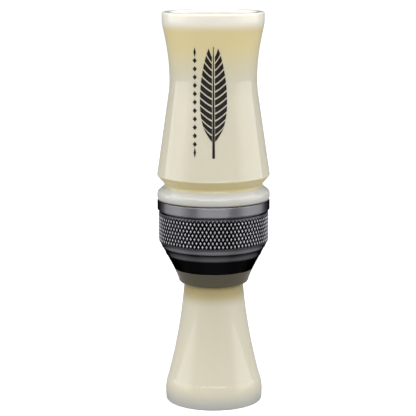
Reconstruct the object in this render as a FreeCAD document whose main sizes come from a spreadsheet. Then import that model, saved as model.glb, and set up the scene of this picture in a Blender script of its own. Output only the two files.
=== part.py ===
"""Short-reed goose call, in millimetres.

+Z is up, along the call's own axis, and the origin is at the centre of the foot. The call stands on
its exhaust bell with its mouth upwards. The reed and the deck under it face -Y.
"""
import FreeCAD, Part
import math
import os
from types import SimpleNamespace

import Sketcher

# Driving dimensions: (name, millimetres, what it is). A height is measured up from the foot, and a
# radius out from the call's axis.
SIZES = [
    ("lip_height", 127.0, "Barrel: top of the mouth lip, the call's full height"),
    ("lip_radius", 16.38, "Barrel: outside of the lip"),
    ("lip_corner_height", 126.45, "Barrel: where the lip's outer corner starts"),
    ("lip_crown_radius", 15.9, "Barrel: outer edge of the lip's flat top"),
    ("lip_corner_bend", 0.56, "Barrel: roundness of the lip's outer corner"),
    ("lip_base_height", 124.7, "Barrel: bottom of the lip's straight side"),
    ("shoulder_bend", 11.8, "Barrel: roundness of the shoulder under the lip"),
    ("shoulder_radius", 16.02, "Barrel: where the shoulder meets the flare"),
    ("shoulder_height", 121.8, "Barrel: where the shoulder meets the flare"),
    ("flare_bend", 90.0, "Barrel: curve of the flare under the shoulder"),
    ("flare_radius", 15.25, "Barrel: where the flare leaves the waist curve"),
    ("flare_height", 118.0, "Barrel: where the flare leaves the waist curve"),
    ("upper_waist_bend", 65.0, "Barrel: curve of the waist above its neck"),
    ("waist_radius", 14.03, "Barrel: the waist, its thinnest place"),
    ("waist_height", 105.6, "Barrel: the waist, its thinnest place"),
    ("lower_waist_bend", 37.0, "Barrel: curve of the waist below its neck"),
    ("taper_top_radius", 14.57, "Barrel: small end of the long taper"),
    ("taper_top_height", 99.7, "Barrel: small end of the long taper"),
    ("knee_top_radius", 18.18, "Barrel: big end of the long taper"),
    ("knee_top_height", 75.2, "Barrel: big end of the long taper"),
    ("knee_bend", 0.7, "Barrel: roundness of the knee over the lanyard groove"),
    ("knee_radius", 18.05, "Barrel: where the knee meets the groove's upper wall"),
    ("knee_height", 74.45, "Barrel: where the knee meets the groove's upper wall"),
    ("groove_top_radius", 16.1, "Barrel: lower end of the groove's upper wall"),
    ("groove_top_height", 72.2, "Barrel: lower end of the groove's upper wall"),
    ("groove_bend", 0.9, "Barrel: roundness of the groove's bottom"),
    ("groove_base_radius", 16.15, "Barrel: inner end of the groove's lower wall"),
    ("groove_base_height", 71.05, "Barrel: inner end of the groove's lower wall"),
    ("bead_top_radius", 18.08, "Barrel: top of the bead under the groove"),
    ("bead_top_height", 69.4, "Barrel: top of the bead under the groove"),
    ("bead_bend", 4.0, "Barrel: roundness of the bead"),
    ("bead_base_radius", 18.0, "Barrel: foot of the bead, on the band"),
    ("band_top_height", 66.7, "Band: top face, under the barrel's bead"),
    ("tenon_radius", 11.4, "Barrel: tenon inside the band"),
    ("tenon_base_height", 44.1, "Barrel: lower end of the tenon, and of the band"),
    ("spigot_radius", 10.0, "Barrel: spigot inside the end ring"),
    ("spigot_base_height", 41.5, "Barrel: lower end of the spigot"),
    ("bore_radius", 8.5, "Barrel: the bore that takes the insert"),
    ("dish_base_height", 114.0, "Barrel: where the mouth's dish opens from the bore"),
    ("dish_bend", 20.0, "Barrel: curve of the dish"),
    ("dish_top_radius", 13.6, "Barrel: upper edge of the dish"),
    ("dish_top_height", 126.25, "Barrel: upper edge of the dish"),
    ("mouth_bend", 0.8, "Barrel: roundness of the lip's inner corner"),
    ("mouth_radius", 14.35, "Barrel: inner edge of the lip's flat top"),
    ("collar_radius", 18.22, "Band: the plain collar"),
    ("collar_edge", 0.2, "Band: chamfer on the collar's two edges"),
    ("collar_base_height", 63.5, "Band: lower end of the collar"),
    ("relief_radius", 17.3, "Band: dark line under the collar"),
    ("relief_base_height", 62.95, "Band: lower end of that line"),
    ("crown_radius", 17.42, "Band: plain strip over the knurl, at its top"),
    ("knurl_radius", 17.9, "Band: crests of the knurl"),
    ("knurl_top_height", 62.3, "Band: upper end of the knurl"),
    ("knurl_base_height", 53.5, "Band: lower end of the knurl"),
    ("upper_strip_radius", 17.3, "Band: edge across the strip under the knurl"),
    ("upper_strip_height", 52.6, "Band: edge across the strip under the knurl"),
    ("upper_strip_base_radius", 16.77, "Band: lower edge of that strip"),
    ("upper_strip_base_height", 51.2, "Band: lower edge of that strip"),
    ("line_radius", 16.1, "Band: bottom of the fine groove between the strips"),
    ("line_base_height", 50.85, "Band: lower side of the fine groove"),
    ("fillet_radius", 16.3, "Band: fine raised line under that groove"),
    ("fillet_base_height", 50.45, "Band: lower side of the raised line"),
    ("lower_strip_radius", 16.0, "Band: upper edge of the lower strip"),
    ("lower_strip_height", 50.2, "Band: upper edge of the lower strip"),
    ("lower_strip_base_radius", 15.5, "Band: lower edge of the lower strip"),
    ("lower_strip_base_height", 48.8, "Band: lower edge of the lower strip"),
    ("cone_top_radius", 15.38, "Band: upper edge of the black cone"),
    ("cone_bend", 60.0, "Band: hollow curve of the cone"),
    ("cone_base_radius", 12.9, "Band: lower edge of the cone"),
    ("ring_bend", 30.0, "End ring: curve of its side"),
    ("ring_side_radius", 11.43, "End ring: lower end of its side"),
    ("ring_side_height", 40.55, "End ring: lower end of its side"),
    ("ring_corner_bend", 1.3, "End ring: roundness of its lower corner"),
    ("ring_face_radius", 10.4, "End ring: edge of its lower face"),
    ("ring_face_height", 39.35, "End ring: its lower face"),
    ("shoulder_gap", 0.05, "Insert: gap under the end ring"),
    ("neck_radius", 9.59, "Insert: the neck under the end ring"),
    ("flare_hollow_bend", 175.0, "Insert: long hollow curve of the flare"),
    ("bell_radius", 15.0, "Insert: where the flare meets the bell"),
    ("bell_height", 8.0, "Insert: where the flare meets the bell"),
    ("bell_bend", 14.5, "Insert: rounded side of the bell"),
    ("bell_base_radius", 15.62, "Insert: lower end of the bell's side"),
    ("bell_base_height", 0.4, "Insert: lower end of the bell's side"),
    ("foot_bend", 0.35, "Insert: roundness of the foot's corner"),
    ("foot_radius", 15.4, "Insert: outer edge of the flat foot"),
    ("exhaust_radius", 11.35, "Insert: inner edge of the flat foot"),
    ("exhaust_corner_bend", 0.95, "Insert: roundness of the exhaust's edge"),
    ("exhaust_side_radius", 10.45, "Insert: mouth of the exhaust's flare"),
    ("exhaust_side_height", 0.9, "Insert: mouth of the exhaust's flare"),
    ("exhaust_bend", 45.0, "Insert: curve of the exhaust's flare"),
    ("throat_radius", 5.6, "Insert: the throat"),
    ("throat_base_height", 19.0, "Insert: lower end of the throat"),
    ("seat_radius", 6.35, "Insert: the seat that the guts plug into"),
    ("seat_base_height", 37.95, "Insert: ledge at the bottom of the seat"),
    ("plug_radius", 8.42, "Insert: the plug that goes up into the barrel"),
    ("plug_top_height", 62.0, "Insert: top of the plug"),
    ("plug_edge", 0.35, "Insert: chamfer on the plug's edges"),
    ("seal_groove_radius", 7.25, "Insert: bottom of the two O-ring grooves"),
    ("seal_groove_width", 1.5, "Insert: width of an O-ring groove"),
    ("seal_ring_radius", 7.87, "Insert O-rings: centre line"),
    ("seal_ring_thickness", 0.6, "All O-rings: half of the cord's thickness"),
    ("seal_low_height", 46.0, "Insert O-rings: the lower one"),
    ("seal_spacing", 9.0, "Insert O-rings: from the lower to the upper"),
    ("guts_radius", 6.3, "Guts: outside"),
    ("guts_base_height", 38.0, "Guts: lower end, in the insert"),
    ("guts_edge", 0.4, "Guts: chamfer on the lower end"),
    ("guts_tip_height", 101.0, "Guts: tip of the tone board"),
    ("guts_tip_bend", 4.0, "Guts: roundness of the tip"),
    ("guts_bore_radius", 3.2, "Guts: the bore"),
    ("guts_bore_top_height", 63.0, "Guts: upper end of the bore"),
    ("guts_groove_radius", 5.1, "Guts: bottom of the two O-ring grooves"),
    ("guts_ring_radius", 5.72, "Guts O-rings: centre line"),
    ("guts_low_height", 44.0, "Guts O-rings: the lower one"),
    ("guts_spacing", 12.0, "Guts O-rings: from the lower to the upper"),
    ("deck_drop", 0.5, "Guts: the deck, in front of the axis"),
    ("deck_base_height", 76.0, "Guts: lower end of the open deck"),
    ("deck_break_height", 86.0, "Guts: where the deck starts to curve away"),
    ("deck_bend", 140.0, "Guts: curve of the deck"),
    ("deck_fall", 0.3, "Guts: the deck at its tip, behind the axis"),
    ("cut_reach", 8.0, "Guts: how far the deck's cut reaches past the outside"),
    ("channel_base_height", 61.0, "Guts: lower end of the tone channel, in the bore"),
    ("channel_wide_radius", 2.8, "Guts: tone channel over the bore"),
    ("channel_taper_height", 66.0, "Guts: where the tone channel starts to narrow"),
    ("channel_narrow_radius", 1.0, "Guts: tone channel near the tip"),
    ("channel_top_height", 97.0, "Guts: upper end of the tone channel"),
    ("slot_base_height", 64.0, "Guts: bottom of the wedge's slot"),
    ("slot_wide", 4.95, "Guts: half of the slot's width on the deck"),
    ("slot_narrow", 3.6, "Guts: half of the slot's width at its roof"),
    ("slot_rise", 3.0, "Guts: the slot's roof, over the deck"),
    ("reed_gap", 0.02, "Reed: gap over the deck"),
    ("reed_thickness", 0.36, "Reed: its thickness"),
    ("reed_half_width", 4.7, "Reed: half of its width"),
    ("reed_base_height", 64.5, "Reed: clamped end"),
    ("reed_side_height", 96.4, "Reed: where the rounded tip starts"),
    ("reed_tip_bend", 5.5, "Reed: roundness of its tip"),
    ("wedge_gap", 0.04, "Wedge: gap over the reed and under the roof"),
    ("wedge_wide", 4.7, "Wedge: half of its width on the reed"),
    ("wedge_narrow", 3.57, "Wedge: half of its width under the roof"),
    ("wedge_base_height", 64.6, "Wedge: inner end"),
    ("wedge_length", 13.0, "Wedge: its length"),
]

AWAY, TOWARDS = 1, -1  # which way an arc bulges from its chord: away from the axis, or towards it
X_AXIS, Y_AXIS, ORIGIN_POINT = -1, -2, (-1, 1)  # a sketch's own axes and origin
LEAST_CUT = 0.1  # cubic millimetres: a cut that takes less than this has missed


class Size:
    """A length in millimetres, with the sheet expression that gives it."""

    def __init__(self, value, text):
        self.value = value
        self.text = text

    def __add__(self, other):
        return Size(self.value + other.value, f"({self.text} + {other.text})")

    def __sub__(self, other):
        return Size(self.value - other.value, f"({self.text} - {other.text})")

    def __mul__(self, factor):
        return Size(self.value * factor, f"({self.text} * {factor})")

    def __neg__(self):
        return self * -1


ZERO = Size(0.0, "0")


def make_sheet(doc):
    """Write the driving dimensions into a spreadsheet, and return them by name."""
    sheet = doc.addObject("Spreadsheet::Sheet", "Sizes")
    for row, (name, value, what) in enumerate(SIZES, start=1):
        sheet.set(f"A{row}", what)
        sheet.set(f"B{row}", str(value))
        sheet.setAlias(f"B{row}", name)
    return SimpleNamespace(**{name: Size(value, f"Sizes.{name}") for name, value, _ in SIZES})


def arc_middle(start, end, radius, bulge):
    """The middle of the shorter arc from start to end. On a level chord drawn to the left, AWAY is
    upwards."""
    chord = end - start
    half = chord.Length / 2
    sagitta = radius - math.sqrt(radius**2 - half**2)
    way = math.copysign(1.0, chord.y)
    outwards = FreeCAD.Vector(abs(chord.y), -chord.x * way, 0) / chord.Length
    return (start + end) / 2 + outwards * (bulge * sagitta)


def fix_point(sketch, edge, end, across, up):
    """Hold one end of an edge at its two coordinates, bound to the sheet."""
    for kind, zero_axis, size in (("DistanceX", Y_AXIS, across), ("DistanceY", X_AXIS, up)):
        if size is ZERO:
            sketch.addConstraint(Sketcher.Constraint("PointOnObject", edge, end, zero_axis))
            continue
        points = [ORIGIN_POINT, (edge, end)]
        if size.value < 0:
            points.reverse()
            size = -size
        first, second = points
        number = sketch.addConstraint(Sketcher.Constraint(kind, *first, *second, size.value))
        sketch.setExpression(f"Constraints[{number}]", size.text)


def draw_outline(sketch, corners):
    """Draw a closed outline through the corners. A corner is (across, up), reached by a straight
    edge, or (across, up, radius, bulge), reached by an arc."""
    points = [FreeCAD.Vector(corner[0].value, corner[1].value, 0) for corner in corners]
    ends = []
    for number, corner in enumerate(corners):
        start, stop = points[number - 1], points[number]
        if len(corner) == 2:
            edge = sketch.addGeometry(Part.LineSegment(start, stop), False)
        else:
            radius, bulge = corner[2:]
            middle = arc_middle(start, stop, radius.value, bulge)
            edge = sketch.addGeometry(Part.Arc(start, middle, stop), False)
            bend = sketch.addConstraint(Sketcher.Constraint("Radius", edge, radius.value))
            sketch.setExpression(f"Constraints[{bend}]", radius.text)
        forwards = sketch.getPoint(edge, 1).distanceToPoint(start) < stop.distanceToPoint(start) / 2
        ends.append((edge, 1, 2) if forwards else (edge, 2, 1))
    for number, (edge, _, stop) in enumerate(ends):
        following, start, _ = ends[(number + 1) % len(ends)]
        sketch.addConstraint(Sketcher.Constraint("Coincident", edge, stop, following, start))
        fix_point(sketch, edge, stop, *corners[number][:2])


def new_body(doc, name):
    """A body with its node's name."""
    body = doc.addObject("PartDesign::Body", name)
    body.Label = name
    return body


def new_sketch(body, name, plane, corners, offsets=None):
    """A closed outline on one of the body's origin planes, moved by offsets along its own axes."""
    sketch = body.newObject("Sketcher::SketchObject", name)
    support = next(part for part in body.Origin.OriginFeatures if part.Role == plane)
    sketch.AttachmentSupport = [(support, "")]
    sketch.MapMode = "FlatFace"
    for axis, size in (offsets or {}).items():
        sketch.setExpression(f"AttachmentOffset.Base.{axis}", size.text)
    draw_outline(sketch, corners)
    return sketch


def turn(body, kind, name, corners, plane="XZ_Plane", offsets=None):
    """Turn an outline all round the sketch's upright axis, to add it or to cut it."""
    sketch = new_sketch(body, name + "_outline", plane, corners, offsets)
    feature = body.newObject(kind, name)
    feature.Profile = sketch
    feature.ReferenceAxis = (sketch, ["V_Axis"])
    feature.Angle = 360.0
    return feature


def turn_solid(body, name, corners):
    return turn(body, "PartDesign::Revolution", name, corners)


def turn_cut(body, name, corners, **place):
    return turn(body, "PartDesign::Groove", name, corners, **place)


def pad(body, name, plane, corners, length, offsets):
    """Raise an outline along its plane's normal."""
    feature = body.newObject("PartDesign::Pad", name)
    feature.Profile = new_sketch(body, name + "_outline", plane, corners, offsets)
    feature.setExpression("Length", length.text)
    return feature


def pair_of_grooves(doc, body, name, radius, outside, low, spacing, size):
    """Two O-ring grooves round a plug, the second a spacing above the first."""
    half = size.seal_groove_width * 0.5
    corners = [
        (radius, low - half),
        (outside, low - half),
        (outside, low + half),
        (radius, low + half),
    ]
    groove = turn_cut(body, name, corners)
    doc.recompute()
    pattern = body.newObject("PartDesign::LinearPattern", name + "_pair")
    pattern.Originals = [groove]
    pattern.Direction = (groove.Profile[0], ["V_Axis"])
    pattern.Occurrences = 2
    pattern.setExpression("Length", spacing.text)
    body.Tip = pattern


def make_barrel(doc, size):
    """The mouth end: dished lip, waist, long taper, lanyard groove and bead, over a bored tenon."""
    body = new_body(doc, "barrel")
    outside = [
        (ZERO, size.spigot_base_height),
        (size.spigot_radius, size.spigot_base_height),
        (size.spigot_radius, size.tenon_base_height),
        (size.tenon_radius, size.tenon_base_height),
        (size.tenon_radius, size.band_top_height),
        (size.bead_base_radius, size.band_top_height),
        (size.bead_top_radius, size.bead_top_height, size.bead_bend, AWAY),
        (size.groove_base_radius, size.groove_base_height),
        (size.groove_top_radius, size.groove_top_height, size.groove_bend, TOWARDS),
        (size.knee_radius, size.knee_height),
        (size.knee_top_radius, size.knee_top_height, size.knee_bend, AWAY),
        (size.taper_top_radius, size.taper_top_height),
        (size.waist_radius, size.waist_height, size.lower_waist_bend, TOWARDS),
        (size.flare_radius, size.flare_height, size.upper_waist_bend, TOWARDS),
        (size.shoulder_radius, size.shoulder_height, size.flare_bend, TOWARDS),
        (size.lip_radius, size.lip_base_height, size.shoulder_bend, AWAY),
        (size.lip_radius, size.lip_corner_height),
        (size.lip_crown_radius, size.lip_height, size.lip_corner_bend, AWAY),
        (ZERO, size.lip_height),
    ]
    turn_solid(body, "barrel_blank", outside)
    inside = [
        (ZERO, size.spigot_base_height),
        (size.bore_radius, size.spigot_base_height),
        (size.bore_radius, size.dish_base_height),
        (size.dish_top_radius, size.dish_top_height, size.dish_bend, AWAY),
        (size.mouth_radius, size.lip_height, size.mouth_bend, TOWARDS),
        (ZERO, size.lip_height),
    ]
    turn_cut(body, "barrel_bore", inside)
    return body


def make_band(doc, size):
    """The metal band, a turned ring glued round the barrel's tenon. The knurl is its plain crest."""
    body = new_body(doc, "band")
    section = [
        (size.tenon_radius, size.tenon_base_height),
        (size.cone_base_radius, size.tenon_base_height),
        (size.cone_top_radius, size.lower_strip_base_height, size.cone_bend, TOWARDS),
        (size.lower_strip_base_radius, size.lower_strip_base_height),
        (size.lower_strip_radius, size.lower_strip_height),
        (size.lower_strip_radius, size.fillet_base_height),
        (size.fillet_radius, size.fillet_base_height),
        (size.fillet_radius, size.line_base_height),
        (size.line_radius, size.line_base_height),
        (size.line_radius, size.upper_strip_base_height),
        (size.upper_strip_base_radius, size.upper_strip_base_height),
        (size.upper_strip_radius, size.upper_strip_height),
        (size.knurl_radius, size.knurl_base_height),
        (size.knurl_radius, size.knurl_top_height),
        (size.crown_radius, size.relief_base_height),
        (size.relief_radius, size.relief_base_height),
        (size.relief_radius, size.collar_base_height),
        (size.collar_radius - size.collar_edge, size.collar_base_height),
        (size.collar_radius, size.collar_base_height + size.collar_edge),
        (size.collar_radius, size.band_top_height - size.collar_edge),
        (size.collar_radius - size.collar_edge, size.band_top_height),
        (size.tenon_radius, size.band_top_height),
    ]
    turn_solid(body, "band_ring", section)
    return body


def make_end_ring(doc, size):
    """The ring that finishes the barrel under the band, counterbored over the barrel's spigot."""
    body = new_body(doc, "end_ring")
    section = [
        (size.bore_radius, size.ring_face_height),
        (size.ring_face_radius, size.ring_face_height),
        (size.ring_side_radius, size.ring_side_height, size.ring_corner_bend, AWAY),
        (size.cone_base_radius, size.tenon_base_height, size.ring_bend, TOWARDS),
        (size.spigot_radius, size.tenon_base_height),
        (size.spigot_radius, size.spigot_base_height),
        (size.bore_radius, size.spigot_base_height),
    ]
    turn_solid(body, "end_ring_turning", section)
    return body


def make_insert(doc, size):
    """The exhaust end: a flared bell that the call stands on, and a plug up into the barrel."""
    body = new_body(doc, "insert")
    shoulder_height = size.ring_face_height - size.shoulder_gap
    outside = [
        (ZERO, ZERO),
        (size.foot_radius, ZERO),
        (size.bell_base_radius, size.bell_base_height, size.foot_bend, AWAY),
        (size.bell_radius, size.bell_height, size.bell_bend, AWAY),
        (size.neck_radius, shoulder_height, size.flare_hollow_bend, TOWARDS),
        (size.plug_radius, shoulder_height),
        (size.plug_radius, size.plug_top_height - size.plug_edge),
        (size.plug_radius - size.plug_edge, size.plug_top_height),
        (ZERO, size.plug_top_height),
    ]
    turn_solid(body, "insert_blank", outside)
    inside = [
        (ZERO, ZERO),
        (size.exhaust_radius, ZERO),
        (size.exhaust_side_radius, size.exhaust_side_height, size.exhaust_corner_bend, TOWARDS),
        (size.throat_radius, size.throat_base_height, size.exhaust_bend, TOWARDS),
        (size.throat_radius, size.seat_base_height),
        (size.seat_radius, size.seat_base_height),
        (size.seat_radius, size.plug_top_height - size.plug_edge),
        (size.seat_radius + size.plug_edge, size.plug_top_height),
        (ZERO, size.plug_top_height),
    ]
    turn_cut(body, "insert_bore", inside)
    outside_of_groove = size.plug_radius + size.seal_ring_thickness
    pair_of_grooves(
        doc,
        body,
        "insert_groove",
        size.seal_groove_radius,
        outside_of_groove,
        size.seal_low_height,
        size.seal_spacing,
        size,
    )
    return body


def make_guts(doc, size):
    """The tone board: a bored plug, a wedge slot, and a curved deck with a tapering tone channel."""
    body = new_body(doc, "guts")
    tip_side_height = size.guts_tip_height - size.guts_tip_bend
    outside = [
        (ZERO, size.guts_base_height),
        (size.guts_radius - size.guts_edge, size.guts_base_height),
        (size.guts_radius, size.guts_base_height + size.guts_edge),
        (size.guts_radius, tip_side_height),
        (size.guts_radius - size.guts_tip_bend, size.guts_tip_height, size.guts_tip_bend, AWAY),
        (ZERO, size.guts_tip_height),
    ]
    turn_solid(body, "guts_blank", outside)
    bore = [
        (ZERO, size.guts_base_height),
        (size.guts_bore_radius, size.guts_base_height),
        (size.guts_bore_radius, size.guts_bore_top_height),
        (ZERO, size.guts_bore_top_height),
    ]
    turn_cut(body, "guts_bore", bore)

    above_tip = size.guts_tip_height + size.deck_drop
    over_deck = [
        (-size.cut_reach, size.deck_base_height),
        (-size.deck_drop, size.deck_base_height),
        (-size.deck_drop, size.deck_break_height),
        (size.deck_fall, size.guts_tip_height, size.deck_bend, TOWARDS),
        (size.deck_fall, above_tip),
        (-size.cut_reach, above_tip),
    ]
    deck = body.newObject("PartDesign::Pocket", "guts_deck")
    deck.Profile = new_sketch(body, "guts_deck_outline", "YZ_Plane", over_deck)
    deck.Type = "ThroughAll"
    deck.SideType = "Symmetric"

    roof = size.deck_drop + size.slot_rise
    slot_section = [
        (-size.slot_wide, -size.deck_drop),
        (-size.slot_narrow, -roof),
        (size.slot_narrow, -roof),
        (size.slot_wide, -size.deck_drop),
    ]
    slot = body.newObject("PartDesign::Pocket", "guts_slot")
    slot.Profile = new_sketch(
        body, "guts_slot_outline", "XY_Plane", slot_section, {"z": size.deck_base_height}
    )
    slot.setExpression("Length", (size.deck_base_height - size.slot_base_height).text)

    channel = [
        (ZERO, size.channel_base_height),
        (size.channel_wide_radius, size.channel_base_height),
        (size.channel_wide_radius, size.channel_taper_height),
        (size.channel_narrow_radius, size.channel_top_height),
        (ZERO, size.channel_top_height),
    ]
    on_deck = {"x": -size.deck_drop}
    turn_cut(body, "guts_channel", channel, plane="YZ_Plane", offsets=on_deck)
    outside_of_groove = size.guts_radius + size.seal_ring_thickness
    pair_of_grooves(
        doc,
        body,
        "guts_groove",
        size.guts_groove_radius,
        outside_of_groove,
        size.guts_low_height,
        size.guts_spacing,
        size,
    )
    return body


def make_reed(doc, size):
    """The reed: a thin strip on the deck, square where it is clamped and rounded at its tip."""
    body = new_body(doc, "reed")
    outline = [
        (-size.reed_half_width, size.reed_base_height),
        (size.reed_half_width, size.reed_base_height),
        (size.reed_half_width, size.reed_side_height),
        (-size.reed_half_width, size.reed_side_height, size.reed_tip_bend, AWAY),
    ]
    over_deck = {"z": size.deck_drop + size.reed_gap}
    pad(body, "reed_strip", "XZ_Plane", outline, size.reed_thickness, over_deck)
    return body


def make_wedge(doc, size):
    """The wedge: a tapered block that clamps the reed in the slot and stands a little proud."""
    body = new_body(doc, "wedge")
    low = size.deck_drop + size.reed_gap + size.reed_thickness + size.wedge_gap
    high = size.deck_drop + size.slot_rise - size.wedge_gap
    section = [
        (-size.wedge_wide, -low),
        (-size.wedge_narrow, -high),
        (size.wedge_narrow, -high),
        (size.wedge_wide, -low),
    ]
    pad(body, "wedge_block", "XY_Plane", section, size.wedge_length, {"z": size.wedge_base_height})
    return body


def make_o_ring(doc, name, radius, thickness, height):
    ring = doc.addObject("Part::Torus", name)
    ring.Label = name
    ring.setExpression("Radius1", radius.text)
    ring.setExpression("Radius2", thickness.text)
    ring.setExpression("Placement.Base.z", height.text)
    return ring


def make_o_rings(doc, size):
    """Two rings round the insert's plug, and two round the guts' plug."""
    pairs = (
        ("insert_o_ring", size.seal_ring_radius, size.seal_low_height, size.seal_spacing),
        ("guts_o_ring", size.guts_ring_radius, size.guts_low_height, size.guts_spacing),
    )
    rings = []
    for name, radius, low, spacing in pairs:
        for end, height in (("lower", low), ("upper", low + spacing)):
            rings.append(
                make_o_ring(doc, f"{name}_{end}", radius, size.seal_ring_thickness, height)
            )
    return rings


def check_model(doc, nodes):
    """Stop if a feature failed, a cut missed, or a node isn't one valid solid."""
    for item in doc.Objects:
        if {"Invalid", "Error"} & set(item.State):
            raise RuntimeError(f"{item.Label} failed: {item.State}")
        if item.TypeId in ("PartDesign::Groove", "PartDesign::Pocket"):
            if item.BaseFeature.Shape.Volume - item.Shape.Volume < LEAST_CUT:
                raise RuntimeError(f"{item.Label} cuts nothing")
    for node in nodes:
        shape = node.Shape
        if shape.isNull() or not shape.isValid() or len(shape.Solids) != 1:
            raise RuntimeError(f"{node.Label} isn't one valid solid")


def write_steps(nodes):
    os.makedirs("parts", exist_ok=True)
    for node in nodes:
        node.Shape.exportStep(f"parts/{node.Label}.step")
        print(f"{node.Label}: {node.Shape.Volume:.1f} mm3")


def main():
    doc = FreeCAD.newDocument("goose_call")
    size = make_sheet(doc)
    makers = (
        make_barrel,
        make_band,
        make_end_ring,
        make_insert,
        make_guts,
        make_reed,
        make_wedge,
    )
    nodes = [make(doc, size) for make in makers] + make_o_rings(doc, size)
    doc.recompute()
    check_model(doc, nodes)
    write_steps(nodes)


main()
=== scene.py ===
"""Looks of the short-reed goose call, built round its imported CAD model. Metres, +Z up."""
import math

import bmesh
import bpy
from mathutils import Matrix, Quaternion, Vector


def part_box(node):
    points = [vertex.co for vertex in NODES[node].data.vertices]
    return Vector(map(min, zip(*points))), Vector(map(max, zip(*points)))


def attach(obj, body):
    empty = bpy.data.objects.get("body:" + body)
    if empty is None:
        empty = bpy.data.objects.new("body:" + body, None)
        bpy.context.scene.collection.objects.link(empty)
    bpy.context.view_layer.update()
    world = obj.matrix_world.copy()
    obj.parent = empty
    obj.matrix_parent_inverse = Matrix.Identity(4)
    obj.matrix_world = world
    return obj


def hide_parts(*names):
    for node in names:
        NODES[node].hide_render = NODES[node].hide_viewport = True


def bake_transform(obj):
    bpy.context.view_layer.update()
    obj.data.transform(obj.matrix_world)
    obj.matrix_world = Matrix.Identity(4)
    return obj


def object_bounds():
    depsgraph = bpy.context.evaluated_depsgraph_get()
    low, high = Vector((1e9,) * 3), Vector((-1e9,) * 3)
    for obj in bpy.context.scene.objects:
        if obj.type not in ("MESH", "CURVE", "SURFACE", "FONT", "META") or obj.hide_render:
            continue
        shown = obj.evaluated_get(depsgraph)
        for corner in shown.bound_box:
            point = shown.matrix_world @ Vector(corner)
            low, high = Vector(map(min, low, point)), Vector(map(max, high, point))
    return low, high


MM = 0.001

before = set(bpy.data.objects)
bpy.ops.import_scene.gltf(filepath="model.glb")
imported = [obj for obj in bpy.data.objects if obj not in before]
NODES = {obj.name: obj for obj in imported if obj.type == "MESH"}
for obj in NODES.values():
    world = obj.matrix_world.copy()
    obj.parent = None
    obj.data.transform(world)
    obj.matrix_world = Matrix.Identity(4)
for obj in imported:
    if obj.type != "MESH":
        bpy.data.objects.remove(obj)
cad_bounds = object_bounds()
CALL_HEIGHT = cad_bounds[1].z

# ---------------------------------------------------------------- outlines read from the CAD model

WELD = 1e-6  # vertices closer than this are one
SHARP_TURN = math.radians(24)  # a corner that turns more than this is an edge, not part of a curve
EDGE_ROUNDING = 0.25 * MM  # how far back from an edge its polished corner starts
CORNER_SHARE = 0.47  # share of a run that the rounding at each of its ends may take
LONGEST_RUN = 1.6 * MM


def meridian(node):
    """A turned node's section as a closed loop of (radius, height), running anticlockwise."""
    b = bmesh.new()
    b.from_mesh(NODES[node].data)
    bmesh.ops.remove_doubles(b, verts=b.verts, dist=WELD)
    whole = b.verts[:] + b.edges[:] + b.faces[:]
    bmesh.ops.bisect_plane(b, geom=whole, dist=WELD, plane_co=(0, 0, 0), plane_no=(0, 1, 0))
    near = {}
    for edge in b.edges:
        if all(abs(v.co.y) < 2 * WELD and v.co.x > WELD for v in edge.verts):
            for v in edge.verts:
                near.setdefault(v, []).append(edge.other_vert(v))
    start = here = next(iter(near))
    before = None
    loop = []
    while not loop or here is not start:
        loop.append(Vector((here.co.x, here.co.z)))
        before, here = here, next(v for v in near[here] if v is not before)
    b.free()
    area = sum(p.x * q.y - q.x * p.y for p, q in zip(loop, loop[1:] + loop[:1]))
    loop = loop if area > 0 else loop[::-1]
    return [p for p, q in zip(loop, loop[1:] + loop[:1]) if (q - p).length > 2 * WELD]


def square_to(run):
    """The direction to the right of a run, which is outwards on an anticlockwise loop."""
    along = run.normalized()
    return Vector((along.y, -along.x))


def softened(loop, corner_steps=4):
    """The loop with every corner rounded, as a list of (point, outward normal)."""
    count = len(loop)
    cuts = []
    for i in range(count):
        back, ahead = loop[i - 1] - loop[i], loop[(i + 1) % count] - loop[i]
        turn = math.pi - back.angle(ahead)
        room = CORNER_SHARE * min(back.length, ahead.length)
        cut = min(room, EDGE_ROUNDING) if turn > SHARP_TURN else room
        cuts.append((loop[i] + back.normalized() * cut, loop[i] + ahead.normalized() * cut))
    out = []
    for i in range(count):
        first, last = cuts[i]
        for step in range(corner_steps + 1):
            t = step / corner_steps
            a, c = first.lerp(loop[i], t), loop[i].lerp(last, t)
            out.append((a.lerp(c, t), square_to(c - a)))
        onward = cuts[(i + 1) % count][0] - last
        pieces = math.ceil(onward.length / LONGEST_RUN)
        for step in range(1, pieces):
            out.append((last + onward * (step / pieces), square_to(onward)))
    return out


def side_radius(outline):
    """A function that gives the radius of an outline's outer side at a height."""
    side = [p for p, normal in outline if normal.x > 0]

    def radius(height):
        reached = [
            p.x + (q.x - p.x) * (height - p.y) / (q.y - p.y)
            for p, q in zip(side, side[1:])
            if p.y <= height < q.y
        ]
        return max(reached)

    return radius


# ---------------------------------------------------------------- meshes

COLUMNS = 256


def new_piece(name, mesh, material, body=None, replaces=None):
    piece = bpy.data.objects.new(name, mesh)
    bpy.context.scene.collection.objects.link(piece)
    mesh.materials.append(material)
    if body:
        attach(piece, body)
    if replaces:
        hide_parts(replaces)
    return piece


def around(vector, column, columns):
    """A (radial, height) pair swung round the call's axis to a column."""
    angle = 2 * math.pi * column / columns
    return (vector.x * math.cos(angle), vector.x * math.sin(angle), vector.y)


def ring_faces(ring, rings, columns):
    """The quads between a ring and the next, going round."""
    low, high = ring * columns, (ring + 1) % rings * columns
    for column in range(columns):
        right = (column + 1) % columns
        yield (low + column, low + right, high + right, high + column)


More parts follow.
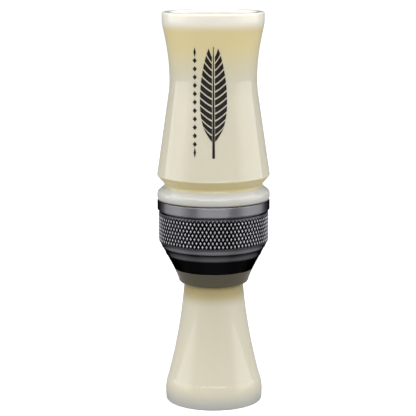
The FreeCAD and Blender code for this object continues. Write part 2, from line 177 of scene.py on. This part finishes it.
def turned_mesh(name, outline, columns=COLUMNS):
    """A closed mesh turned from an outline, with the outline's own normals."""
    vertices = [around(point, c, columns) for point, _ in outline for c in range(columns)]
    normals = [around(normal, c, columns) for _, normal in outline for c in range(columns)]
    faces = [f for ring in range(len(outline)) for f in ring_faces(ring, len(outline), columns)]
    mesh = bpy.data.meshes.new(name)
    mesh.from_pydata(vertices, [], faces)
    mesh.polygons.foreach_set("use_smooth", [True] * len(faces))
    mesh.normals_split_custom_set_from_vertices(normals)
    return mesh


# ---------------------------------------------------------------- the knurled band

KNURL_DIAMONDS = 85  # round the band
KNURL_CELLS = 6  # mesh cells across a diamond, and up it
KNURL_SLOPE = math.radians(29.3)  # of the crossing grooves, from the axis
KNURL_DEPTH = 0.42 * MM
KNURL_FLAT = 0.8  # share of a sharp diamond's height at which its flat top cuts it
KNURL_CREST_LIGHT = 0.6  # share of the depth, down from the crests, over which the painted highlight on the crests fades into the painted shade of the grooves


def off_groove(number):
    """0 on a groove and 1 midway to the next, for a place counted in mesh cells."""
    turns = number / KNURL_CELLS
    return 2 * abs(turns - round(turns))


def longest_side(loop):
    """The number of the loop's point at the foot of its longest upward run."""
    return max(range(len(loop)), key=lambda i: loop[(i + 1) % len(loop)].y - loop[i].y)


def knurled_mesh(name, loop):
    """The band, turned from its loop, with crossing grooves rolled into its longest straight side."""
    count = len(loop)
    foot = longest_side(loop)
    below, low, high, above = (loop[(foot + step) % count] for step in (-1, 0, 1, 2))
    crest = low.x
    floor = crest - KNURL_DEPTH
    base = low.lerp(below, KNURL_DEPTH / (crest - below.x)).y
    top = high.lerp(above, KNURL_DEPTH / (crest - above.x)).y
    pitch = 2 * math.pi * crest / KNURL_DIAMONDS
    rows = round((top - base) / (pitch / math.tan(KNURL_SLOPE) / KNURL_CELLS))
    columns = KNURL_DIAMONDS * KNURL_CELLS

    outline = softened(loop, corner_steps=2)
    rolled = [n.x > 0 and p.x > floor and base < p.y < top for p, n in outline]
    first = next(i for i in range(len(outline)) if rolled[i] and not rolled[i - 1])
    onward = [(first + i) % len(outline) for i in range(len(outline))]
    plain = [outline[i] for i in onward if not rolled[i]]

    vertices, normals = [], []
    for row in range(rows + 1):
        height = base + (top - base) * row / rows
        cone = min(1.0, (height - base) / (low.y - base), (top - height) / (top - high.y))
        smooth = floor + KNURL_DEPTH * cone
        for column in range(columns):
            rise = min(off_groove(column + row), off_groove(column - row)) / KNURL_FLAT
            radius = min(smooth, floor + KNURL_DEPTH * min(rise, 1.0))
            vertices.append(around(Vector((radius, height)), column, columns))
            normals.append((0, 0, 0))
    for point, normal in plain:
        for column in range(columns):
            vertices.append(around(point, column, columns))
            normals.append(around(normal, column, columns))

    rings = rows + 1 + len(plain)
    faces, smooth_faces = [], []
    for ring in range(rings):
        for column, quad in enumerate(ring_faces(ring, rings, columns)):
            if ring < rows:
                a, b, c, d = quad
                leans_left = (column + 1 + ring) % KNURL_CELLS == 0
                faces += [(a, b, d), (b, c, d)] if leans_left else [(a, b, c), (a, c, d)]
                smooth_faces += [False, False]
            else:
                faces.append(quad)
                smooth_faces.append(True)
    mesh = bpy.data.meshes.new(name)
    mesh.from_pydata(vertices, [], faces)
    mesh.polygons.foreach_set("use_smooth", smooth_faces)
    corners = []
    for polygon in mesh.polygons:
        for vertex in polygon.vertices:
            own = normals[vertex]
            corners.append(own if polygon.use_smooth and any(own) else tuple(polygon.normal))
    mesh.normals_split_custom_set(corners)
    return mesh


# ---------------------------------------------------------------- the engraved feather

FEATHER_FRONT = -math.pi / 2  # the barrel's engraved side faces -Y
FEATHER_BASE = 82.3 * MM  # height of the quill's end
FEATHER_LENGTH = 34.6 * MM
FEATHER_HALF_WIDTH = 4.3 * MM
QUILL_SHARE = 0.15  # of the length, bare under the vane
QUILL_HALF_WIDTH = 0.34 * MM
BARBS = 12
BARB_SHARE = 0.78  # of the spacing that a barb fills
BARB_SWEEP = 2.6 * MM  # how much higher a barb ends than it starts
TRAIL_ACROSS = -6.0 * MM  # the row of small marks beside the feather
TRAIL_MARKS = 13
TRAIL_HALF_WIDTH = 0.72 * MM
PAINT_PROUD = 0.012 * MM
PAINT_DEPTH = 0.25 * MM


def vane_half_width(share):
    """Half of the vane's width, for a share of its length from the bottom."""
    return FEATHER_HALF_WIDTH * math.sin(math.pi * min(share, 1.0) ** 0.72) ** 0.55


def barb(side, number):
    """One barb, as a function of (shaft to edge, lower side to upper side)."""
    vane = FEATHER_LENGTH * (1 - QUILL_SHARE) - BARB_SWEEP
    spacing = vane / BARBS

    def place(out, across):
        root = (number + BARB_SHARE * across) * spacing
        share = (root + BARB_SWEEP * 0.5) / (vane + BARB_SWEEP)
        shaft = QUILL_HALF_WIDTH * 1.35
        reach = max(vane_half_width(share) - shaft, 0.2 * MM)
        up = FEATHER_LENGTH * QUILL_SHARE + root + BARB_SWEEP * out**1.25
        return side * (shaft + reach * out), up

    return place


def quill(along, across):
    """The shaft, tapering from the quill's end to the tip."""
    half = QUILL_HALF_WIDTH * (1.25 - 0.9 * along)
    return half * (2 * across - 1), FEATHER_LENGTH * along


def mark(number):
    """A small diamond in the row beside the feather. Those at the two ends are longer."""
    ends = number in (0, TRAIL_MARKS - 1)
    spacing = FEATHER_LENGTH * 0.9 / (TRAIL_MARKS - 1)
    half_length = spacing * (0.62 if ends else 0.33)
    half_width = TRAIL_HALF_WIDTH * (0.6 if ends else 1.0)
    middle = FEATHER_LENGTH * 0.05 + spacing * number

    def place(u, v):
        return TRAIL_ACROSS + half_width * (u - v), middle + half_length * (u + v - 1)

    return place


def painted_patch(vertices, faces, place, long_cells, cross_cells, barrel_radius):
    """Add a closed sliver of paint that follows the barrel's side."""
    start = len(vertices)
    wide = cross_cells + 1
    for lift in (PAINT_PROUD, -PAINT_DEPTH):
        for i in range(long_cells + 1):
            for j in range(wide):
                across, up = place(i / long_cells, j / cross_cells)
                height = FEATHER_BASE + up
                side = barrel_radius(height)
                angle = FEATHER_FRONT + across / side
                radius = side + lift
                vertices.append((radius * math.cos(angle), radius * math.sin(angle), height))
    layer = wide * (long_cells + 1)
    for i in range(long_cells):
        for j in range(cross_cells):
            a = start + i * wide + j
            quad = (a, a + wide, a + wide + 1, a + 1)
            faces.append(quad)
            faces.append(tuple(k + layer for k in reversed(quad)))
    rim = [start + j for j in range(wide)]
    rim += [start + i * wide + cross_cells for i in range(1, long_cells + 1)]
    rim += [start + long_cells * wide + j for j in range(cross_cells - 1, -1, -1)]
    rim += [start + i * wide for i in range(long_cells - 1, 0, -1)]
    for a, b in zip(rim, rim[1:] + rim[:1]):
        faces.append((a, b, b + layer, a + layer))


def feather_mesh(name, barrel_radius):
    vertices, faces = [], []
    for side in (-1, 1):
        for number in range(BARBS):
            painted_patch(vertices, faces, barb(side, number), 10, 5, barrel_radius)
    painted_patch(vertices, faces, quill, 40, 2, barrel_radius)
    for number in range(TRAIL_MARKS):
        painted_patch(vertices, faces, mark(number), 4, 4, barrel_radius)
    mesh = bpy.data.meshes.new(name)
    mesh.from_pydata(vertices, [], faces)
    b = bmesh.new()
    b.from_mesh(mesh)
    bmesh.ops.recalc_face_normals(b, faces=b.faces)
    b.to_mesh(mesh)
    b.free()
    return mesh


# ---------------------------------------------------------------- the reed

REED_ROWS = 60
REED_CELLS = 10


def reed_mesh(name):
    """The reed as a fine grid. Its tip is an arc through the CAD reed's corners."""
    low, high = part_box("reed")
    half = high.x
    sides = [v.co.z for v in NODES["reed"].data.vertices if abs(abs(v.co.x) - half) < WELD]
    shoulder = max(sides)
    tip = high.z - shoulder
    bend = (half**2 + tip**2) / (2 * tip)
    vertices, faces = [], []
    for y in (low.y, high.y):
        for row in range(REED_ROWS + 1):
            for cell in range(REED_CELLS + 1):
                x = half * (2 * cell / REED_CELLS - 1)
                end = high.z - bend + math.sqrt(bend**2 - x**2)
                vertices.append((x, y, low.z + (end - low.z) * row / REED_ROWS))
    wide = REED_CELLS + 1
    layer = wide * (REED_ROWS + 1)
    for row in range(REED_ROWS):
        for cell in range(REED_CELLS):
            a = row * wide + cell
            quad = (a, a + 1, a + wide + 1, a + wide)
            faces += [quad, tuple(k + layer for k in reversed(quad))]
    rim = list(range(wide))
    rim += [row * wide + REED_CELLS for row in range(1, REED_ROWS + 1)]
    rim += [REED_ROWS * wide + cell for cell in range(REED_CELLS - 1, -1, -1)]
    rim += [row * wide for row in range(REED_ROWS - 1, 0, -1)]
    for a, b in zip(rim, rim[1:] + rim[:1]):
        faces.append((a, a + layer, b + layer, b))
    mesh = bpy.data.meshes.new(name)
    mesh.from_pydata(vertices, [], faces)
    return mesh


# ---------------------------------------------------------------- materials


class Shader:
    """A node material. A value given for a socket is set on it, and another node's socket is linked."""

    def __init__(self, name):
        self.material = bpy.data.materials.new(name)
        self.material.use_nodes = True
        self.tree = self.material.node_tree
        self.surface = self.tree.nodes["Principled BSDF"]
        self.place = self.add("TexCoord").outputs["Object"]

    def add(self, kind, sockets=None, **settings):
        node = self.tree.nodes.new("ShaderNode" + kind)
        for key, value in settings.items():
            setattr(node, key, value)
        self.put(node, sockets or {})
        return node

    def put(self, node, sockets):
        for key, value in sockets.items():
            self.fill(node.inputs[key], value)

    def fill(self, socket, value):
        if isinstance(value, bpy.types.NodeSocket):
            self.tree.links.new(value, socket)
        else:
            socket.default_value = value

    def look(self, **sockets):
        """Set the surface's own sockets, named with underscores for spaces."""
        self.put(self.surface, {key.replace("_", " "): value for key, value in sockets.items()})

    def noise(self, scale, detail=3.0, stretch=(1, 1, 1)):
        """Noise from 0 to 1, with scale in features to a metre and stretch along each axis."""
        mapped = self.add("Mapping", {"Vector": self.place, "Scale": stretch})
        sockets = {"Vector": mapped.outputs[0], "Scale": scale, "Detail": detail}
        return self.add("TexNoise", sockets).outputs["Fac"]

    def between(self, factor, low, high):
        """A number that runs from low to high as the factor runs from 0.25 to 0.75."""
        sockets = {"Value": factor, "From Min": 0.25, "From Max": 0.75, "To Min": low, "To Max": high}
        return self.add("MapRange", sockets).outputs[0]

    def by_height(self, stops):
        """A colour that changes with height: stops are (height in mm, colour), upwards."""
        height = self.add("SeparateXYZ", {"Vector": self.place}).outputs["Z"]
        share = self.add("MapRange", {"Value": height, "From Max": CALL_HEIGHT}).outputs[0]
        ramp = self.add("ValToRGB", {"Fac": share})
        ramp.color_ramp.interpolation = "EASE"
        while len(ramp.color_ramp.elements) < len(stops):
            ramp.color_ramp.elements.new(0.5)
        for element, (millimetres, _) in zip(ramp.color_ramp.elements, stops):
            element.position = millimetres * MM / CALL_HEIGHT
        for element, (_, colour) in zip(ramp.color_ramp.elements, stops):
            element.color = linear(colour)
        return ramp.outputs["Color"]

    def tinted(self, colour, factor, amount):
        """The colour made up to an amount darker where the factor is high."""
        shade = self.between(factor, 1.0, 1.0 - amount)
        grey = self.add("CombineColor", {"Red": shade, "Green": shade, "Blue": shade}).outputs[0]
        return self.blended(1.0, colour, grey, "MULTIPLY")

    def by_radius(self, inner, outer):
        """A number that runs smoothly from 0 to 1 between two distances from the call's axis."""
        place = self.add("SeparateXYZ", {"Vector": self.place}).outputs
        flat = self.add("CombineXYZ", {"X": place["X"], "Y": place["Y"]}).outputs[0]
        radius = self.add("VectorMath", {0: flat}, operation="LENGTH").outputs["Value"]
        sockets = {"Value": radius, "From Min": inner, "From Max": outer}
        return self.add("MapRange", sockets, interpolation_type="SMOOTHSTEP").outputs[0]

    def mixed(self, factor, low, high):
        """The colour low where the factor is 0, and high where it is 1."""
        return self.blended(factor, low, high, "MIX")

    def blended(self, factor, a, b, way):
        """A colour Mix node's result. Its sockets are taken by their own names, as some repeat."""
        mix = self.add("Mix", data_type="RGBA", blend_type=way)
        named = {"Factor_Float": factor, "A_Color": a, "B_Color": b}
        for socket in mix.inputs:
            if socket.identifier in named:
                self.fill(socket, named[socket.identifier])
        return next(s for s in mix.outputs if s.identifier == "Result_Color")

    def bump(self, factor, height, strength=1.0):
        sockets = {"Height": factor, "Distance": height, "Strength": strength}
        return self.add("Bump", sockets).outputs[0]


def linear(colour):
    """A screen colour, 0 to 255, as the linear colour that shaders use."""
    parts = [c / 255 for c in colour]
    return tuple(c / 12.92 if c < 0.04045 else ((c + 0.055) / 1.055) ** 2.4 for c in parts) + (1.0,)


def ivory(name, stops):
    """Polished cast acrylic: glossy, a little translucent, warmer where it is thick, with painted light and
    shade following height: a paler lip, shade in hollows and under the end ring.
    """
    shader = Shader(name)
    swirl = shader.noise(70, 4, (1, 1, 0.45))
    colour = shader.tinted(shader.by_height(stops), swirl, 0.035)
    haze = shader.noise(900, 2)
    shader.look(
        Base_Color=colour,
        Roughness=shader.between(haze, 0.03, 0.07),
        IOR=1.49,
        Subsurface_Weight=0.35,
        Subsurface_Radius=(1.0, 0.72, 0.42),
        Subsurface_Scale=0.0035,
        Normal=shader.bump(shader.noise(260, 2), 0.004 * MM, 0.35),
    )
    return shader.material


JOINT_SHADE = (80, 62, 30)  # dark amber line where the bead sits on the band: painted shade in the crease between them
SHEEN_AND_SHADE_GREY = (190, 190, 185)  # greyer and cooler than the ivory: painted light on the bead, the overhead light reflected on it, and painted shade on the rim of the insert's foot
IVORY = (205, 200, 180)
SHADED_HONEY = (220, 206, 155)  # warm amber: the thick wall's own warmth, with painted shade in the lanyard groove and under the lip
LIP_LIGHT = (228, 226, 215)  # the lip, paled with painted light from above shining through its thin wall
RING_SHADOW = (170, 155, 110)  # the neck under the end ring: painted shadow cast by the ring, warm

BARREL_TINTS = [
    (66.7, JOINT_SHADE),
    (66.9, JOINT_SHADE),
    (67.4, SHEEN_AND_SHADE_GREY),
    (70.5, SHEEN_AND_SHADE_GREY),
    (72.0, SHADED_HONEY),
    (74.0, SHADED_HONEY),
    (75.5, IVORY),
    (105.0, IVORY),
    (119.0, SHADED_HONEY),
    (121.0, SHADED_HONEY),
    (124.5, LIP_LIGHT),
]
INSERT_TINTS = [
    (0.0, SHEEN_AND_SHADE_GREY),
    (6.0, IVORY),
    (32.0, IVORY),
    (37.5, RING_SHADOW),
    (39.5, RING_SHADOW),
    (42.0, IVORY),
]


def anodised(name, crest):
    """Dark anodised aluminium with fine turning marks, its colour painted with light and shade by height,
    and its knurling with a painted highlight out at the crest radius and painted shade in the grooves.
    """
    shader = Shader(name)

    # The band's colour up its height is painted light and shade on one metal: lighter strips where faces
    # look up at the lamps, black on the cone that faces down and in the cut grooves.
    def stops(knurl):
        return [
            (44.1, (24, 24, 25)),
            (48.75, (24, 24, 26)),
            (48.85, (92, 92, 95)),
            (49.5, (112, 112, 116)),
            (50.2, (92, 92, 95)),
            (50.3, (64, 63, 65)),
            (50.8, (64, 63, 65)),
            (50.87, (20, 20, 21)),
            (51.15, (20, 20, 21)),
            (51.25, (120, 120, 124)),
            (52.0, (150, 150, 155)),
            (52.9, (100, 100, 104)),
            (53.5, knurl),
            (62.3, knurl),
            (62.45, (120, 120, 124)),
            (62.9, (96, 96, 100)),
            (63.0, (24, 24, 25)),
            (63.4, (24, 24, 25)),
            (63.5, (148, 148, 153)),
            (66.7, (148, 148, 153)),
        ]

    # painted highlight on the knurl's crests and painted shade down in its grooves
    crest_light_and_groove_shade = shader.by_radius(crest - KNURL_CREST_LIGHT * KNURL_DEPTH, crest)
    dark, bright = (shader.by_height(stops(grey)) for grey in ((6, 6, 7), (225, 225, 232)))
    colour = shader.mixed(crest_light_and_groove_shade, dark, bright)
    marks = shader.noise(220, 3, (0.35, 0.35, 40))
    grain = shader.noise(2600, 2)
    shader.look(
        Base_Color=shader.tinted(colour, marks, 0.16),
        Metallic=1.0,
        Roughness=shader.between(grain, 0.34, 0.42),
        Anisotropic=0.95,
        Anisotropic_Rotation=0.25,
        Specular_Tint=(0.05, 0.05, 0.05, 1.0),
        Tangent=shader.add("Tangent", direction_type="RADIAL", axis="Z").outputs[0],
        Normal=shader.bump(marks, 0.01 * MM, 0.6),
    )
    return shader.material


def plain(name, colour, roughness, grain=1200, tint=0.12, relief=0.012, **sockets):
    """A moulded or turned plastic or rubber, with a fine grain, uneven gloss and faint mottling."""
    shader = Shader(name)
    mottle = shader.noise(grain / 8, 4)
    fine = shader.noise(grain, 2)
    shader.look(
        Base_Color=shader.tinted(linear(colour), mottle, tint),
        Roughness=shader.between(fine, roughness * 0.85, roughness * 1.15),
        Normal=shader.bump(fine, relief * MM, 0.8),
        **sockets,
    )
    return shader.material


def dress(node, material):
    """Give a CAD node its material."""
    data = NODES[node].data
    data.materials.clear()
    data.materials.append(material)


# ---------------------------------------------------------------- the call

barrel_ivory = ivory("barrel_ivory", BARREL_TINTS)
insert_ivory = ivory("insert_ivory", INSERT_TINTS)
band_loop = meridian("band")
metal = anodised("dark_anodised", crest=band_loop[longest_side(band_loop)].x)
# the end ring's colour is cream acrylic darkened with painted shade, from the shadow it sits in under the
# band
shaded_cream = plain("shaded_cream_acrylic", (84, 78, 61), 0.22, tint=0.05, relief=0.001)
paint = plain(
    "engraving_paint", (38, 31, 26), 0.6, grain=2200, tint=0.45, relief=0.02, Specular_IOR_Level=0.15
)
rubber = plain("seal_rubber", (22, 22, 23), 0.42, tint=0.3)
moulded = plain("guts_plastic", (232, 229, 216), 0.38, Subsurface_Weight=0.15, Subsurface_Scale=0.001)
film = plain("reed_film", (206, 214, 218), 0.3, relief=0.004)
wedge_plastic = plain("wedge_plastic", (30, 30, 32), 0.45, tint=0.25)

barrel_outline = softened(meridian("barrel"))
new_piece(
    "barrel_turning",
    turned_mesh("barrel_turning", barrel_outline),
    barrel_ivory,
    "barrel",
    "barrel",
)
new_piece(
    "insert_turning",
    turned_mesh("insert_turning", softened(meridian("insert"))),
    insert_ivory,
    "insert",
    "insert",
)
new_piece(
    "end_ring_turning",
    turned_mesh("end_ring_turning", softened(meridian("end_ring"))),
    shaded_cream,
    "barrel",
    "end_ring",
)
new_piece(
    "knurled_band",
    knurled_mesh("knurled_band", band_loop),
    metal,
    "barrel",
    "band",
)
new_piece(
    "engraved_feather",
    feather_mesh("engraved_feather", side_radius(barrel_outline)),
    paint,
    "barrel",
)
for place in ("lower", "upper"):
    dress(f"insert_o_ring_{place}", rubber)
    dress(f"guts_o_ring_{place}", rubber)
dress("guts", moulded)
dress("wedge", wedge_plastic)

reed = new_piece("reed_strip", reed_mesh("reed_strip"), film, replaces="reed")
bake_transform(reed)

# ---------------------------------------------------------------- stage, lights and camera

CAMERA_ASIDE = -1.8 * MM  # the call stands a little to the right of the picture's middle
CAMERA_BACK = 494 * MM
CAMERA_HEIGHT = 153 * MM
CAMERA_AIM = 63.6 * MM
CAMERA_LENS = 133.7
CAMERA_ROLL = math.radians(-0.15)

FLOOR_TO_THE_CAMERA = 0.95  # the floor is white paper where the picture shows it,
FLOOR_TO_THE_CALL = 0.28  # and as grey as a studio table where it lights the call
FLOOR_REACH = 4.0

OVERHEAD_IRRADIANCE = 3.2
OVERHEAD_SPREAD = math.radians(100)
ROOM_BRIGHTNESS = 0.1
WHITE = (1, 1, 1, 1)
FRONT_PLACE = Vector((0, -0.98, 0.62))  # places are from the call's middle
FRONT_SIZE = (1.3, 0.7)
FRONT_RADIANCE = 3.0
SIDE_ACROSS = 0.8
SIDE_RISE = 0.24
SIDE_HEIGHT = 0.6
SIDE_STRIPS = (  # how far forward of the call, width and radiance, fading towards the camera
    (-0.05, 0.8, 1.8),
    (0.42, 0.14, 1.2),
    (0.56, 0.14, 0.6),
)
TUBE_PLACE = (0.28, -0.05, 1.0)
TUBE_SIZE = (0.02, 0.7)
TUBE_RADIANCE = 24


def white_floor():
    mesh = bpy.data.meshes.new("floor")
    corners = [(-1, -1), (1, -1), (1, 1), (-1, 1)]
    mesh.from_pydata([(x * FLOOR_REACH, y * FLOOR_REACH, 0) for x, y in corners], [], [(0, 1, 2, 3)])
    shader = Shader("floor_paper")
    fibre = shader.noise(40, 3)
    shades = [(grey, grey, grey, 1) for grey in (FLOOR_TO_THE_CALL, FLOOR_TO_THE_CAMERA)]
    seen = shader.add("LightPath").outputs["Is Camera Ray"]
    shader.look(
        Base_Color=shader.tinted(shader.mixed(seen, *shades), fibre, 0.01),
        Roughness=0.9,
        Specular_IOR_Level=0.0,
    )
    new_piece("floor", mesh, shader.material)


def softbox(name, place, aim, width, height, radiance):
    """A rectangular soft light at a place, turned towards its aim and out of the camera's sight."""
    data = bpy.data.lights.new(name, "AREA")
    data.shape = "RECTANGLE"
    data.size, data.size_y = width, height
    data.energy = radiance * math.pi * width * height
    light = bpy.data.objects.new(name, data)
    bpy.context.scene.collection.objects.link(light)
    light.location = place
    light.rotation_mode = "QUATERNION"
    light.rotation_quaternion = (Vector(aim) - Vector(place)).to_track_quat("-Z", "Y")
    light.visible_camera = False


def overhead_glow():
    """Soft light from the whole upper part of the studio, the same all over the floor."""
    data = bpy.data.lights.new("overhead_glow", "SUN")
    data.energy = OVERHEAD_IRRADIANCE
    data.angle = OVERHEAD_SPREAD
    bpy.context.scene.collection.objects.link(bpy.data.objects.new("overhead_glow", data))


def dim_room():
    """A dim room round the object, seen by the camera as a backdrop as pale as the floor."""
    world = bpy.data.worlds.new("studio")
    world.use_nodes = True
    tree = world.node_tree
    room = tree.nodes["Background"]
    room.inputs["Strength"].default_value = ROOM_BRIGHTNESS
    backdrop = tree.nodes.new("ShaderNodeBackground")
    for background in (room, backdrop):
        background.inputs["Color"].default_value = WHITE
    seen = tree.nodes.new("ShaderNodeLightPath")
    mix = tree.nodes.new("ShaderNodeMixShader")
    tree.links.new(seen.outputs["Is Camera Ray"], mix.inputs[0])
    tree.links.new(room.outputs[0], mix.inputs[1])
    tree.links.new(backdrop.outputs[0], mix.inputs[2])
    tree.links.new(mix.outputs[0], tree.nodes["World Output"].inputs["Surface"])
    bpy.context.scene.world = world


def studio():
    middle = Vector((0, 0, CALL_HEIGHT / 2))
    dim_room()
    overhead_glow()
    softbox("front_softbox", middle + FRONT_PLACE, middle, *FRONT_SIZE, FRONT_RADIANCE)
    for side, name in ((-1, "left"), (1, "right")):
        for strip, (forward, width, radiance) in enumerate(SIDE_STRIPS):
            aim = middle - Vector((0, forward, 0))
            place = aim + Vector((side * SIDE_ACROSS, 0.0, SIDE_RISE))
            softbox(f"{name}_softbox_{strip}", place, aim, width, SIDE_HEIGHT, radiance)
        across, forward, up = TUBE_PLACE
        place = middle + Vector((side * across, forward, up))
        softbox(f"{name}_overhead_tube", place, middle, *TUBE_SIZE, TUBE_RADIANCE)


def photographer():
    data = bpy.data.cameras.new("camera")
    data.lens = CAMERA_LENS
    data.clip_start, data.clip_end = 0.01, 20.0
    camera = bpy.data.objects.new("camera", data)
    bpy.context.scene.collection.objects.link(camera)
    camera.location = (CAMERA_ASIDE, -CAMERA_BACK, CAMERA_HEIGHT)
    aim = Vector((CAMERA_ASIDE, 0, CAMERA_AIM))
    camera.rotation_mode = "QUATERNION"
    level = (aim - camera.location).to_track_quat("-Z", "Y")
    camera.rotation_quaternion = level @ Quaternion((0, 0, 1), CAMERA_ROLL)
    bpy.context.scene.camera = camera


white_floor()
studio()
photographer()
bpy.context.scene.view_settings.view_transform = "Standard"
